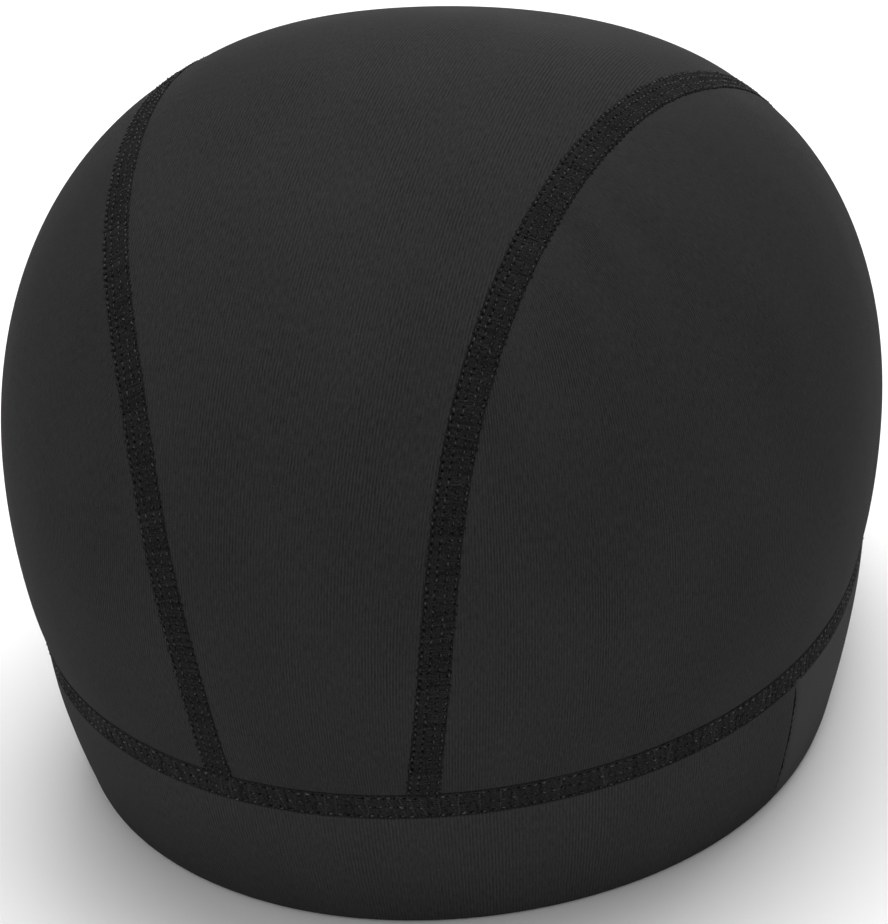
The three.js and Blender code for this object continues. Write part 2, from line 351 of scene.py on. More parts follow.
def make_object(name, points, faces, cloth_place, material):
    """A smooth mesh object from points in the surface's own frame."""
    mesh = bpy.data.meshes.new(name)
    points = np.asarray(points).reshape(-1, 3)
    mesh.vertices.add(len(points))
    mesh.vertices.foreach_set("co", ((points + PLAN_SHIFT) * MM).astype("f4").ravel())
    corners = np.concatenate([f.ravel() for f in faces]).astype("i4")
    sizes = np.concatenate([np.full(len(f), f.shape[1]) for f in faces])
    starts = np.concatenate([[0], np.cumsum(sizes)[:-1]]).astype("i4")
    mesh.loops.add(len(corners))
    mesh.loops.foreach_set("vertex_index", corners)
    mesh.polygons.add(len(sizes))
    mesh.polygons.foreach_set("loop_start", starts)
    mesh.update(calc_edges=True)
    mesh.polygons.foreach_set("use_smooth", np.ones(len(sizes), bool))
    layer = mesh.uv_layers.new(name="cloth")
    spots = np.asarray(cloth_place).reshape(-1, 2)[corners] * MM
    layer.data.foreach_set("uv", spots.astype("f4").ravel())
    mesh.validate()
    mesh.materials.append(material)
    item = bpy.data.objects.new(name, mesh)
    bpy.context.scene.collection.objects.link(item)
    return item


def make_wall(name, points, normals, half, cloth_place, material, is_ring=False):
    """A closed cloth wall from a grid of middle points and half its thickness at each."""
    outward = normals * half[..., None]
    both = np.stack([points + outward, points - outward], 2)
    place = np.stack([cloth_place, cloth_place], 2)
    steps_u = points.shape[0] - (0 if is_ring else 1)
    faces = shell_faces(steps_u, points.shape[1] - 1, is_ring)
    return make_object(name, both, faces, place, material)


def tube_parts(paths, ups, radius, sides, flatness):
    """Points, faces and cloth places of closed tubes along paths of (tubes, points, 3)."""
    tubes, stations = paths.shape[:2]
    ahead = unit(np.gradient(paths, axis=1))
    across = unit(np.cross(ahead, ups))
    up = np.cross(across, ahead)[:, :, None]
    angle = 2 * np.pi * (np.arange(sides) + 0.5) / sides
    radius = np.broadcast_to(radius, (tubes, stations))[..., None, None]
    ring = across[:, :, None] * np.cos(angle)[:, None] + up * np.sin(angle)[:, None] * flatness
    points = paths[:, :, None] + ring * radius

    start = np.arange(tubes)[:, None, None] * stations * sides
    station = np.arange(stations - 1)[None, :, None] * sides
    side = np.arange(sides)[None, None, :]
    here, there = start + station + side, start + station + (side + 1) % sides
    quads = np.stack([here, there, there + sides, here + sides], -1).reshape(-1, 4)
    first = start[:, :, 0] + np.arange(sides)[::-1]
    last = start[:, :, 0] + (stations - 1) * sides + np.arange(sides)

    steps = np.linalg.norm(np.diff(paths, axis=1, prepend=paths[:, :1]), axis=-1)
    length = np.cumsum(steps, axis=1)
    place = np.zeros((tubes, stations, sides, 2))
    place[..., 0] = length[..., None] + TUBE_STEP * np.arange(tubes)[:, None, None]
    place[..., 1] = np.arange(sides) / sides
    return points.reshape(-1, 3), [quads, first, last], place.reshape(-1, 2)


def make_tubes(name, parts, material):
    """One mesh from several sets of tubes."""
    points, faces, places, count, tubes = [], [], [], 0, 0
    for part_points, part_faces, part_place in parts:
        points.append(part_points)
        places.append(part_place + (TUBE_STEP * tubes, 0))
        faces += [f + count for f in part_faces]
        count += len(part_points)
        tubes += len(part_faces[1])
    return make_object(name, np.concatenate(points), faces, np.concatenate(places), material)


# Materials

WAVE_SCALE = math.pi / 10  # a wave texture then repeats once in a unit of its vector
COURSE = 0.42  # height of a row of loops
PLY_LENGTH = 0.45
PLY_RELIEF = 0.05
HOLE_LENGTH = 0.3
HOLE_WIDTH = 0.22
HOLE_STRAY = 0.22  # along its row, as a share of a stitch
HOLE_DEPTH = 0.9
HOLE_RELIEF = 2.0
# how much painted shade darkens the colour in a needle hole
HOLE_PAINTED_SHADE = 1.6
SPECK_SIZE = (0.2, 0.34)
PATCH_SIZE = (9, 22)  # of the patches where the ribs are strong or weak
CLOUD_SIZE = (24, 32)
JOIN_SHEEN_FADE = 30.0  # how far past the join two thirds of the painted sheen are gone


class Shading:
    """One material's nodes, from the cloth's coordinates to a Principled shader."""

    def __init__(self, name):
        self.material = bpy.data.materials.new(name)
        self.material.use_nodes = True
        self.nodes = self.material.node_tree.nodes
        self.links = self.material.node_tree.links
        self.nodes.clear()
        output = self.nodes.new("ShaderNodeOutputMaterial")
        self.shader = self.nodes.new("ShaderNodeBsdfPrincipled")
        self.links.new(self.shader.outputs["BSDF"], output.inputs["Surface"])

    def feed(self, node, inputs):
        """Give inputs of a node their values, or link them to the sockets given."""
        for name, value in inputs.items():
            if isinstance(value, bpy.types.NodeSocket):
                self.links.new(value, node.inputs[name])
            else:
                node.inputs[name].default_value = value

    def math(self, operation, *values):
        node = self.nodes.new("ShaderNodeMath")
        node.operation = operation
        self.feed(node, dict(enumerate(values)))
        return node.outputs[0]

    def total(self, *terms):
        """The sum of products of two."""
        result = None
        for term in terms:
            product = self.math("MULTIPLY", *term)
            result = product if result is None else self.math("ADD", result, product)
        return result

    def place(self):
        """The cloth's two coordinates, in metres."""
        node = self.nodes.new("ShaderNodeUVMap")
        node.uv_map = "cloth"
        return node.outputs["UV"]

    def split_place(self):
        node = self.nodes.new("ShaderNodeSeparateXYZ")
        self.feed(node, {"Vector": self.place()})
        return node.outputs["X"], node.outputs["Y"]

    def stretched(self, across, along):
        """The cloth's coordinates in units of these two lengths."""
        node = self.nodes.new("ShaderNodeMapping")
        self.feed(node, {
            "Vector": self.place(), "Scale": (1 / (across * MM), 1 / (along * MM), 1),
        })
        return node.outputs["Vector"]

    def noise(self, vector, detail, roughness=0.5, scale=1.0):
        node = self.nodes.new("ShaderNodeTexNoise")
        self.feed(node, {
            "Vector": vector, "Scale": scale, "Detail": detail, "Roughness": roughness,
        })
        return node.outputs["Fac"]

    def wave(self, vector, direction, distortion, detail_scale):
        node = self.nodes.new("ShaderNodeTexWave")
        node.wave_type = "BANDS"
        node.bands_direction = direction
        node.wave_profile = "SIN"
        self.feed(node, {
            "Vector": vector, "Scale": WAVE_SCALE, "Distortion": distortion, "Detail": 2.0,
            "Detail Scale": detail_scale,
        })
        return node.outputs["Fac"]

    def chance(self, number):
        """A random value for each number."""
        node = self.nodes.new("ShaderNodeTexWhiteNoise")
        node.noise_dimensions = "1D"
        self.feed(node, {"W": number})
        return node.outputs["Value"]

    def bump(self, height, distance):
        node = self.nodes.new("ShaderNodeBump")
        self.feed(node, {"Strength": 1.0, "Distance": distance * MM, "Height": height})
        self.feed(self.shader, {"Normal": node.outputs["Normal"]})

    def colour(self, shade, dark, light):
        node = self.nodes.new("ShaderNodeValToRGB")
        node.color_ramp.elements[0].color = (*dark, 1)
        node.color_ramp.elements[1].color = (*light, 1)
        self.feed(node, {"Fac": shade})
        self.feed(self.shader, {"Base Color": node.outputs["Color"]})


def needle_holes(shading, stitches):
    """One at the needle holes of a seam's rows, a hole for each stitch and of uneven strength."""
    across, along = shading.split_place()
    stitch = shading.math("MULTIPLY", along, 1 / (stitches["length"] * MM))
    holes = []
    for i, (row, shift) in enumerate(zip(stitches["rows"], stitches["holes"])):
        hole = shading.math("SUBTRACT", stitch, shift)
        number = shading.math("ROUND", hole)
        # A number of the hole's own, a thousand further on for each row
        own = shading.chance(shading.math("ADD", number, 0.37 + 1000 * i))
        aside = shading.math("SUBTRACT", own, 0.5)
        ahead = shading.math("SUBTRACT", hole, number)
        ahead = shading.math("ADD", ahead, shading.math("MULTIPLY", aside, HOLE_STRAY))
        ahead = shading.math("MULTIPLY", ahead, stitches["length"] / HOLE_LENGTH)
        sideways = shading.math("SUBTRACT", across, row * MM)
        sideways = shading.math("MULTIPLY", sideways, 1 / (HOLE_WIDTH * MM))
        sideways = shading.math("ADD", sideways, aside)
        away = shading.total((ahead, ahead), (sideways, sideways))
        depth = shading.math("MAXIMUM", shading.math("SUBTRACT", 1.0, away), 0.0)
        holes.append((depth, shading.math("ADD", aside, HOLE_DEPTH)))
    return shading.total(*holes)


def jersey_material(
    name, dark, light, wale=0.58, relief=0.065, sheen=0.006, speckle=0.6, stitches=None,
    past_join=0.0,
):
    """Stretched jersey: fine ribs that fade and break, and a dull, soft surface."""
    shading = Shading(name)

    def noise(size, detail, roughness=0.5):
        return shading.noise(shading.stretched(*size), detail, roughness)

    # Each rib wanders, fades in places, and breaks up into short streaks
    ribs = shading.stretched(wale, wale * 7)
    ribs = shading.wave(ribs, "X", distortion=2.2, detail_scale=0.5)
    loops = shading.stretched(COURSE * 5, COURSE)
    loops = shading.wave(loops, "Y", distortion=2.0, detail_scale=0.5)
    streaks = noise((wale * 0.6, wale * 2.8), detail=2.0, roughness=0.6)
    specks = noise(SPECK_SIZE, detail=1.0)
    patches = noise(PATCH_SIZE, detail=2.0)
    clouds = noise(CLOUD_SIZE, detail=3.0)
    strength = shading.math("MULTIPLY_ADD", patches, 1.9, -0.35)
    ribs = shading.math("MULTIPLY", shading.math("SUBTRACT", ribs, 0.5), strength)

    height = shading.total((ribs, 1.1), (loops, 0.2), (streaks, 0.8), (specks, 0.5))
    shade = shading.total((ribs, 0.5), (streaks, 1.0), (specks, speckle), (clouds, 0.3))
    shade = shading.math("SUBTRACT", shade, 0.15 + speckle / 2)
    if past_join:
        # Painted sheen: cloth just past the join is made lighter, where the band catches grazing
        # light
        along, _ = shading.split_place()
        fade = shading.math("EXPONENT", shading.math("MULTIPLY", along, -1 / (JOIN_SHEEN_FADE * MM)))
        shade = shading.math("ADD", shade, shading.math("MULTIPLY", fade, past_join))
    if stitches:
        holes = needle_holes(shading, stitches)
        pits = shading.math("MULTIPLY", holes, HOLE_RELIEF)
        height = shading.math("SUBTRACT", height, pits)
        # Painted shade: the needle holes are darkened in the colour, besides being pitted by the
        # bump
        shade = shading.math("SUBTRACT", shade, shading.math("MULTIPLY", holes, HOLE_PAINTED_SHADE))
    shading.bump(height, relief)
    shading.colour(shade, dark, light)
    shading.feed(shading.shader, {
        "Roughness": shading.math("MULTIPLY_ADD", streaks, 0.16, 0.62),
        "Specular IOR Level": 0.012,
        "Sheen Weight": sheen,
        "Sheen Roughness": 0.25,
        "Sheen Tint": (0.62, 0.62, 0.63, 1),
    })
    return shading.material


def thread_material(
    name, dark, light, roughness, shine, rarity, own_share=1.0, speckle=0.5, speckle_scale=0.35,
):
    """Spun thread: plies that wind round it, a small gloss, a shade for each stitch, and specks."""
    shading = Shading(name)
    along = shading.stretched(PLY_LENGTH, 1.0)
    plies = shading.wave(along, "DIAGONAL", distortion=0.4, detail_scale=1.0)
    shading.bump(plies, PLY_RELIEF)

    # A stitch's own number, then a shade that is seldom the lightest
    length, _ = shading.split_place()
    tube = shading.math("FLOOR", shading.math("MULTIPLY", length, 1 / (TUBE_STEP * MM)))
    own = shading.math("POWER", shading.chance(tube), rarity)
    own = shading.math("MULTIPLY", own, own_share)
    own = shading.math("ADD", own, 0.4 * (1 - own_share))
    uneven = shading.noise(along, detail=2.0, scale=speckle_scale)
    uneven = shading.math("SUBTRACT", uneven, 0.5)
    shade = shading.math("ADD", own, shading.math("MULTIPLY", uneven, speckle))
    shading.colour(shade, dark, light)
    shading.feed(shading.shader, {"Roughness": roughness, "Specular IOR Level": shine})
    return shading.material


def grey(value):
    return (value, value, value * 1.02)


SEAM_LOOK = {"wale": 0.5, "relief": 0.08, "sheen": 0.009}
NEEDLE_LOOK = {"roughness": 0.45, "shine": 0.2}
COVER_LOOK = {"roughness": 0.75, "shine": 0.02}

crown_jersey = jersey_material("crown_jersey_knit", grey(0.0105), grey(0.0365))
# The band's jersey is lighter than the crown's: partly its cloth folded double, partly painted
# light for a band that faces down and gets less light. past_join adds a painted sheen just past the
# join
band_jersey = jersey_material("band_jersey_knit", grey(0.0135), grey(0.0415), past_join=0.75)
crown_seam_cloth = jersey_material(
    "crown_seam_cloth", grey(0.0055), grey(0.0215), speckle=1.5, stitches=CROWN_STITCHES,
    **SEAM_LOOK,
)
band_seam_cloth = jersey_material(
    "band_seam_cloth", grey(0.0055), grey(0.0248), speckle=1.9, stitches=BAND_STITCHES,
    **SEAM_LOOK,
)
# Needle threads: a random tone for each stitch, whose rare lightest shades are painted glints on
# the loops besides their real gloss
crown_needle_thread = thread_material(
    "crown_needle_thread", grey(0.010), grey(0.038), rarity=1.7, **NEEDLE_LOOK,
)
# Painted glints: lighter still on the band seam's needle thread
band_needle_thread = thread_material(
    "band_needle_thread", grey(0.010), grey(0.068), rarity=1.6, **NEEDLE_LOOK,
)
crown_cover_thread = thread_material(
    "crown_cover_thread", grey(0.005), grey(0.024), rarity=1.2, own_share=0.5, speckle=2.2,
    speckle_scale=1.0, **COVER_LOOK,
)
band_cover_thread = thread_material(
    "band_cover_thread", grey(0.006), grey(0.033), rarity=1.5, own_share=0.65, speckle=2.0,
    speckle_scale=0.8, **COVER_LOOK,
)
join_thread = thread_material(
    "join_thread", grey(0.005), grey(0.011), roughness=0.7, shine=0.04, rarity=1.0,
)


# Knitted panels

EDGE_OFFSETS = np.array([0, 0.07, 0.18, 0.36, 0.8])  # rows beside an edge, from the edge inward
EDGE_ROUNDING = 0.36
EDGE_PINCH = 0.05  # how much half of the wall loses at the edge
CENTRE_GRID = (170, 56)
SIDE_GRID = (130, 64)
CORNER_SHARE = 0.25  # of a side panel's arch, at each end, that stands for one of four edges
RIB_POLE = unit(np.array([0.035, 0.07, 1.0]))  # for the right side; the left side mirrors it
RIB_SPREAD_ABOVE = 60.0  # above this rise the ribs keep their distance


def fill_between(low, high, start, end):
    """Coons patch between four chart edges, each a function from 0 to 1."""
    low_start, low_end, high_start, high_end = (
        edge(np.full(1, t))[0] for edge in (low, high) for t in (0.0, 1.0)
    )

    def patch(u, v):
        u1, v1 = u[..., None], v[..., None]
        spot = low(u) * (1 - v1) + high(u) * v1 + start(v) * (1 - u1) + end(v) * u1
        spot = spot - low_start * (1 - u1) * (1 - v1) - low_end * u1 * (1 - v1)
        return spot - high_start * (1 - u1) * v1 - high_end * u1 * v1

    return patch


def edge_steps(inner, low_length, high_length):
    """Steps from 0 to 1 with the edge offsets at both ends, and each step's distance to an end."""
    near = EDGE_OFFSETS / low_length[..., None]
    far = 1 - EDGE_OFFSETS[::-1] / high_length[..., None]
    middle = near[..., -1:] + (far[..., :1] - near[..., -1:]) * inner
    steps = np.concatenate([near, middle, far], -1)
    inner_distance = np.full(len(inner), EDGE_OFFSETS[-1])
    distance = np.concatenate([EDGE_OFFSETS, inner_distance, EDGE_OFFSETS[::-1]])
    return steps, np.broadcast_to(distance, steps.shape)


def panel_grid(patch, to_direction, count_u, count_v):
    """Directions over a patch with rows close beside its four edges, and distances to these."""
    step = 0.01

    def length(u, v, du, dv):
        a = surface_point(to_direction(patch(u, v)))
        b = surface_point(to_direction(patch(u + du, v + dv)))
        return np.linalg.norm(a - b, axis=-1) / max(abs(du), abs(dv))

    def steps_u(v):
        inner = np.linspace(0, 1, count_u)[1:-1]
        return edge_steps(inner, length(0 * v, v, step, 0), length(0 * v + 1, v, -step, 0))

    def steps_v(u):
        inner = np.linspace(0, 1, count_v)[1:-1]
        return edge_steps(inner, length(u, 0 * u, 0, step), length(u, 0 * u + 1, 0, -step))

    half = np.full(1, 0.5)
    rough_u, rough_v = steps_u(half)[0][0], steps_v(half)[0][0]
    u, distance_u = steps_u(rough_v)
    v, distance_v = steps_v(rough_u)
    return to_direction(patch(u.T, v)), np.minimum(distance_u.T, distance_v)


def edge_drop(distance, rounding):
    """One at a rounded edge and zero where its rounding starts."""
    t = np.clip(distance / rounding, 0, 1)
    return 1 - np.sqrt(1 - (1 - t) ** 2)


def edge_half(distance, half):
    """Half of a wall's thickness, rounded down toward an edge."""
    return half - EDGE_PINCH * edge_drop(distance, EDGE_ROUNDING)


def centre_panel():
    """The strip over the head. Its ribs run along it."""
    def to_chart(direction):
        return np.stack([turn_of(direction), lean_of(direction)], -1)

    right, left = seam_edge(1, -PANEL_EDGE), seam_edge(-1, -PANEL_EDGE)

    def level_edge(end):
        start_turn, end_turn = (round_turn(edge(np.full(1, end)))[0] for edge in (right, left))
        shortest = (end_turn - start_turn + 180) % 360 - 180
        return lambda t: to_chart(at_height(start_turn + shortest * t, PANEL_FOOT))

    patch = fill_between(
        lambda t: to_chart(right(t)), lambda t: to_chart(left(t)), level_edge(0.0), level_edge(1.0)
    )
    directions, distance = panel_grid(
        patch, lambda spot: over_head(spot[..., 0], spot[..., 1]), *CENTRE_GRID
    )
    points, normals = surface_at(directions)
    scale = np.radians(CENTRE_RADIUS)
    place = np.stack([lean_of(directions) * scale, turn_of(directions) * scale], -1)
    half = edge_half(distance, CROWN_WALL / 2)
    return make_wall("centre_panel_cloth", points, normals, half, place, crown_jersey)


def side_panel(side, name):
    """A side of the crown. Its ribs run up it like meridians about an all but upright axis."""
    def to_chart(direction):
        return direction[..., 1:] / (1 + side * direction[..., :1])

    def from_chart(spot):
        square = (spot ** 2).sum(-1)
        x = side * (1 - square)
        return np.stack([x, 2 * spot[..., 0], 2 * spot[..., 1]], -1) / (1 + square)[..., None]

    arch = seam_edge(side, PANEL_EDGE)
    back_turn, front_turn = round_turn(arch(np.array([0.0, 1.0])))
    patch = fill_between(
        lambda t: to_chart(at_height(lerp(back_turn, front_turn, t), PANEL_FOOT)),
        lambda t: to_chart(arch(lerp(CORNER_SHARE, 1 - CORNER_SHARE, t))),
        lambda t: to_chart(arch(CORNER_SHARE * t)),
        lambda t: to_chart(arch(1 - CORNER_SHARE * t)),
    )
    directions, distance = panel_grid(patch, from_chart, *SIDE_GRID)
    if side < 0:
        directions, distance = directions[::-1], distance[::-1]
    points, normals = surface_at(directions)
    pole = RIB_POLE * (side, 1, 1)
    forward = unit(np.cross(pole, (side, 0, 0)))
    rise = np.arcsin(np.clip(directions @ pole, -1, 1))
    turned = np.arctan2(directions @ forward, directions @ np.cross(forward, pole))
    spread = math.cos(math.radians(RIB_SPREAD_ABOVE)) / np.cos(rise)
    narrowing = (1 + spread ** 6) ** (-1 / 6)
    place = SIDE_RADIUS * np.stack([turned * narrowing, rise], -1)
    half = edge_half(distance, CROWN_WALL / 2)
    return make_wall(name, points, normals, half, place, crown_jersey)


# Flatlock seams: a strip of pressed cloth edges, rows of needle stitches and cover threads

STRIP_RISE = 0.78  # half of the strip's thickness under its threads
STRIP_EDGE = 0.6
STRIP_ROUNDING = 0.45
STRIP_ROUGHNESS = 0.012
STRIP_INSETS = (0, 0.08, 0.22)  # of the columns beside a strip's edges
ROW_INSET = 0.2  # from a needle row to the columns beside it
COLUMN_SPACING = 0.34
CLOSEST_COLUMNS = 0.05
STATION_SPACING = 0.44
ROW_FURROW = {"depth": 0.06, "width": 0.25}
NEEDLE_PIT = {"shallow": 0.1, "deep": 0.5, "astray": 0.07, "width": 0.17, "length": 0.2}
NEEDLE_RADIUS = 0.15
NEEDLE_VARIES = (0.85, 1.15)  # shares of the radius
NEEDLE_TIP, NEEDLE_BELLY = 0.7, 0.3  # share of the radius at the ends, and what the middle adds
NEEDLE_FLATNESS = 0.85
NEEDLE_STRAY = {"along": 0.1, "aside": 0.11, "askew": 0.2, "lift": 0.05}
NEEDLE_SPAN = (0.42, 0.8)  # length of the shortest and the longest stitch
NEEDLE_END = -0.26  # lift of a stitch's ends off the strip
NEEDLE_CREST = 0.29  # how much higher its middle is
COVER_RADIUS = 0.19
COVER_FLATNESS = 0.55
COVER_STRAY = {"bow": 0.13, "wave": 0.1, "lift": 0.015}
COVER_LIFT = -0.02
COVER_HELD = {"depth": 0.09, "width": 0.3}  # down, by each needle row
COVER_END_DIVE = 0.12
CORNER_REACH = 0.48  # how far past its row a corner of the cover thread may be
ROW_MARGIN = 0.22  # how far past its row it always is
THREAD_START = 0.12  # from the seam's end
CROSSING_BULGE = {"rise": 0.22, "reach": 3.0, "none_below": -2.3, "full_above": -0.6}
LINE_OFFSETS = np.linspace(-4, 4, 17)
LINE_SHARES = np.linspace(0, 1, 600)
# The two faces: whether it is the inner one, points along a stitch and sides round its thread
NEEDLE_FACES = ((False, 6, 5), (True, 4, 4))
COVER_FACES = ((False, 10, 5), (True, 5, 4))

band_turns = np.linspace(0, 360, 1441)
band_lengths = lengths_along(surface_point(at_height(band_turns, SEAM_LINE_HEIGHT)))


def crown_line(side):
    """Place on a crown seam from the length along it and the offset toward -X, and its length."""
    starts, ends = seam_ends(side, -side * LINE_OFFSETS, PANEL_FOOT)

    def turn_at(offset, share):
        start, end = (np.interp(offset, LINE_OFFSETS, turns) for turns in (starts, ends))
        return lerp(start, end, share)

    middle_line = surface_point(beside_seam(side, turn_at(0, LINE_SHARES), 0.0))
    lengths = lengths_along(middle_line)

    def place(along, offset):
        turn = turn_at(offset, np.interp(along, lengths, LINE_SHARES))
        return surface_at(beside_seam(side, turn, -side * offset))

    return place, lengths[-1]


def band_line():
    """Place on the band seam from the length round it and the height above its middle line."""
    def place(along, offset):
        turn = np.interp(np.mod(along, band_lengths[-1]), band_lengths, band_turns)
        return surface_at(at_height(turn, SEAM_LINE_HEIGHT + offset))

    return place, band_lengths[-1]


def seam_columns(width, rows):
    """Offsets across a strip: close beside its edges and its needle rows."""
    edge = width / 2
    columns = [sign * (edge - inset) for sign in (-1, 1) for inset in STRIP_INSETS]
    for row in rows:
        columns += [row - ROW_INSET, row, row + ROW_INSET]
    columns = np.unique(np.clip(columns, -edge, edge).round(3))
    filled = [columns[0]]
    for value in columns[1:]:
        gap = value - filled[-1]
        if gap > CLOSEST_COLUMNS:
            parts = max(1, round(gap / COLUMN_SPACING))
            filled += [filled[-1] + gap * (i + 1) / parts for i in range(parts)]
    filled[-1] = edge
    return np.array(filled)


def stitch_pitch(length, stitches):
    count = round(length / stitches["length"])
    return count, length / count


def seam_strip(name, line, width, stitches, is_ring, bulge, material):
    """The cloth under the threads: slightly raised, sunk along the rows, pitted by the needle."""
    place, length = line
    count, pitch = stitch_pitch(length, stitches)
    per_stitch = round(pitch / STATION_SPACING)
    along = np.arange(count * per_stitch + (0 if is_ring else 1)) * pitch / per_stitch
    s, w = np.meshgrid(along, seam_columns(width, stitches["rows"]), indexing="ij")
    points, normals = place(s, w)
    drop = edge_drop(width / 2 - np.abs(w), STRIP_ROUNDING)
    relief = STRIP_RISE - (STRIP_RISE - STRIP_EDGE) * drop
    for row, shift in zip(stitches["rows"], stitches["holes"]):
        hole = s / pitch - shift
        nearest = np.abs(hole - np.round(hole)) * pitch
        stitch = np.round(hole).astype(int) % count
        relief = relief - ROW_FURROW["depth"] * hump(w - row, ROW_FURROW["width"])
        depth = random.uniform(NEEDLE_PIT["shallow"], NEEDLE_PIT["deep"], count)
        aside = random.normal(0, NEEDLE_PIT["astray"], count)
        pit = hump(w - row - aside[stitch], NEEDLE_PIT["width"])
        relief = relief - depth[stitch] * pit * hump(nearest, NEEDLE_PIT["length"])
    relief = relief + random.normal(0, STRIP_ROUGHNESS, s.shape) + bulge(s, w)
    cloth_place = np.stack([w, s * stitches["length"] / pitch], -1)
    return make_wall(name, points, normals, relief, cloth_place, material, is_ring)


def over_strip(place, along, offset, lift, inside):
    """Points over a strip, lifted off its outer or inner face, and the direction away from it."""
    points, normals = place(along, offset)
    away = -normals if inside else normals
    return points + away * (STRIP_RISE + lift)[..., None], away


def needle_stitches(name, line, stitches, bulge, material):
    """Rows of small stitches: each rises out of one needle hole and dives toward the next."""
    place, length = line
    count, pitch = stitch_pitch(length, stitches)
    each = (count, 1)
    centres = (np.arange(count)[:, None] + 0.5) * pitch
    parts = []
    for inside, stations, sides in NEEDLE_FACES:
        share = np.linspace(0, 1, stations)
        arch = np.sin(np.pi * share)
        for row in stitches["rows"]:
            span = random.uniform(*NEEDLE_SPAN, each)
            middle = centres + random.normal(0, NEEDLE_STRAY["along"], each)
            aside = random.normal(0, NEEDLE_STRAY["aside"], each)
            askew = random.normal(0, NEEDLE_STRAY["askew"], each)
            crest = NEEDLE_CREST + random.normal(0, NEEDLE_STRAY["lift"], each)
            along = middle + span * (share - 0.5)
            offset = row + (aside + askew * (share - 0.5))
            lift = NEEDLE_END + crest * arch ** 0.8 + bulge(along, offset)
            points, away = over_strip(place, along, offset, lift, inside)
            thick = NEEDLE_RADIUS * random.uniform(*NEEDLE_VARIES, each)
            thick = thick * (NEEDLE_TIP + NEEDLE_BELLY * arch)
            parts.append(tube_parts(points, away, thick, sides, NEEDLE_FLATNESS))
    return make_tubes(name, parts, material)


def cover_stitches(name, line, stitches, bulge, material):
    """Flat threads that cross the strip and come back at every stitch, held down by the rows."""
    place, length = line
    count, pitch = stitch_pitch(length, stitches)
    each = (count, 1)
    rows = stitches["rows"]
    low, high, turn = rows[0] - ROW_MARGIN, rows[-1] + ROW_MARGIN, stitches["first_leg"]
    # Each corner reaches past its row by a length of its own, here and there onto the panel
    past = random.uniform(0, CORNER_REACH, (4, *each))
    next_past = np.roll(past, -1, axis=1)
    # Legs: from and to, as shares of a stitch along the seam and as offsets across it
    legs = [
        (0.0, turn, low - past[0], high + past[1]),
        (turn, 1.0, high + past[1], low - next_past[0]),
    ]
    if stitches["threads"] > 1:
        legs += [
            (0.5, 0.5 + turn, high + past[2], low - past[3]),
            (0.5 + turn, 1.5, low - past[3], high + next_past[2]),
        ]
    first = np.arange(count)[:, None] * pitch
    parts = []
    for inside, stations, sides in COVER_FACES:
        share = np.linspace(0, 1, stations)
        for start, end, from_row, to_row in legs[:2] if inside else legs:
            bow = random.normal(0, COVER_STRAY["bow"], each) * np.sin(np.pi * share)
            wave = random.normal(0, COVER_STRAY["wave"], each) * np.sin(2 * np.pi * share)
            along = first + pitch * lerp(start, end, share) + (bow + wave)
            along = np.clip(along, THREAD_START, length - THREAD_START)
            offset = lerp(from_row, to_row, share)
            held = sum(hump(offset - row, COVER_HELD["width"]) for row in rows)
            lift = COVER_LIFT - stitches["sunk"] - COVER_HELD["depth"] * held
            lift = lift - COVER_END_DIVE * np.abs(2 * share - 1) ** 12
            lift = lift + random.normal(0, COVER_STRAY["lift"], each) + bulge(along, offset)
            points, away = over_strip(place, along, offset, lift, inside)
            parts.append(tube_parts(points, away, COVER_RADIUS, sides, COVER_FLATNESS))
    return make_tubes(name, parts, material)


def no_bulge(along, offset):
    return 0.0 * along


def crown_seam_crossings():
    """Lengths round the band seam at which the crown seams run into it."""
    found = []
    for side in (-1, 1):
        for end in (0.0, 1.0):
            turn = round_turn(seam_edge(side, 0.0)(np.full(1, end)))[0]
            found.append(np.interp(turn % 360, band_turns, band_lengths))
    return found


crossings = crown_seam_crossings()


def crossing_bulge(along, offset):
    """The band seam is thicker where a crown seam runs into it."""
    length = band_lengths[-1]
    upper = smoothstep(offset, CROSSING_BULGE["none_below"], CROSSING_BULGE["full_above"])
    extra = 0.0 * along
    for at in crossings:
        away = np.mod(along - at + length / 2, length) - length / 2
        fade = np.exp(-((away / CROSSING_BULGE["reach"]) ** 4))
        extra = extra + CROSSING_BULGE["rise"] * fade * upper
    return extra


# The band: jersey folded double, its fold pressed flat where it stands

FOLD_RISES = np.array([0, 0.12, 0.35, 0.62, 0.85, 1.0])  # rows round the fold, as shares of it
FOLD_HEIGHT = 1.15
FOLD_SWELL = {"rise": 0.12, "height": 2.2, "width": 1.5, "none_below": 0.2, "full_above": 1.4}
LEVEL_BELOW = 1.2  # the wall stands more and more upright from here down to the rim
JOIN_PUCKER = {"depth": 0.525, "reach": 0.6, "full_above": 3.0}
JOIN_OFFSETS = np.array([0, 0.1, 0.25, 0.5, 0.8, 1.2, 1.7, 2.4, 3.2])  # columns beside the join
BAND_ROWS = 26
BAND_COLUMNS = 300
JOIN_PITCH = 1.5
JOIN_FOOT = 0.9  # height of the lowest stitch
JOIN_MARGIN = 1.1  # what the line of stitches leaves of the band's height
JOIN_SWAY = {"slow": 0.2, "quick": 0.16, "stray": 0.03}
JOIN_RADIUS = 0.19
JOIN_FLATNESS = 0.85
JOIN_SUNK = 0.42  # how far under the band's face the ends of a stitch lie
JOIN_CREST = 0.14  # how much higher its middle is


